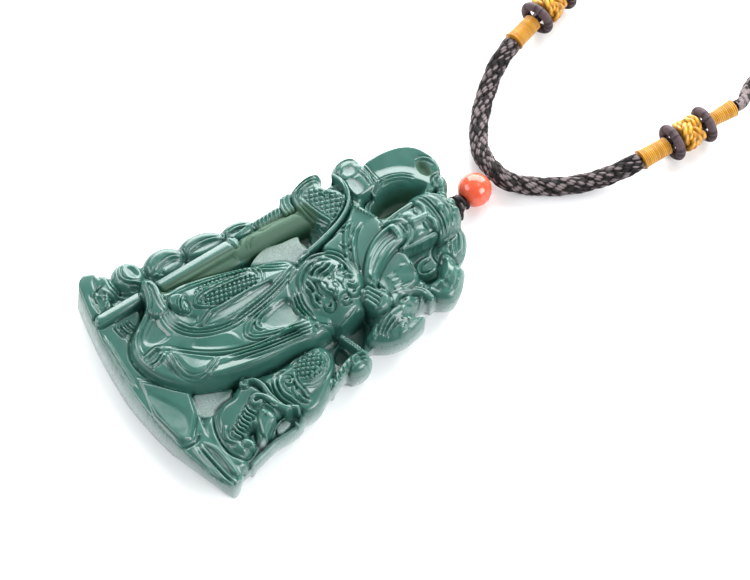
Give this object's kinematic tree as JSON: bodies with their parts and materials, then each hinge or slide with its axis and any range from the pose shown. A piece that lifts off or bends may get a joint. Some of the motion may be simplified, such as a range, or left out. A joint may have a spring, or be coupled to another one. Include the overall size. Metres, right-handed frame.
{
  "type": "jade pendant",
  "caption": "Flat-backed carved jade pendant of a standing bearded warrior with a pole blade and a beast at the foot, on a beaded braided neck cord.",
  "frame": {"origin": "middle of the carving's plan box, on its flat back, which lies on the table", "axes": "+Z out of the carved front, +Y from the figure's foot to its head, +X to the viewer's right"},
  "size_m": [0.0543, 0.1714, 0.0109],
  "materials": {
    "jade": "polished bluish green jade, matte in the sunk floors",
    "coral_bead": "glossy coral red",
    "dark_cord": "braided dark brown cord",
    "gold_thread": "shiny golden thread",
    "brown_thread": "wound brown thread"
  },
  "bodies": {
    "root": {"jade_carving": "jade", "bail_cord": "dark_cord", "red_bead": "coral_bead", "braid_left": "dark_cord", "braid_right": "dark_cord", "wrap_inner_left": "gold_thread", "ring_inner_left": "brown_thread", "woven_knot_left": "gold_thread", "ring_outer_left": "brown_thread", "wrap_outer_left": "gold_thread", "wrap_inner_right": "gold_thread", "ring_inner_right": "brown_thread", "woven_knot_right": "gold_thread", "ring_outer_right": "brown_thread", "wrap_outer_right": "gold_thread", "thin_cord_left": "dark_cord", "thin_cord_right": "dark_cord", "cord_coil": "dark_cord", "coil_tie": "dark_cord"}
  },
  "joints": []
}
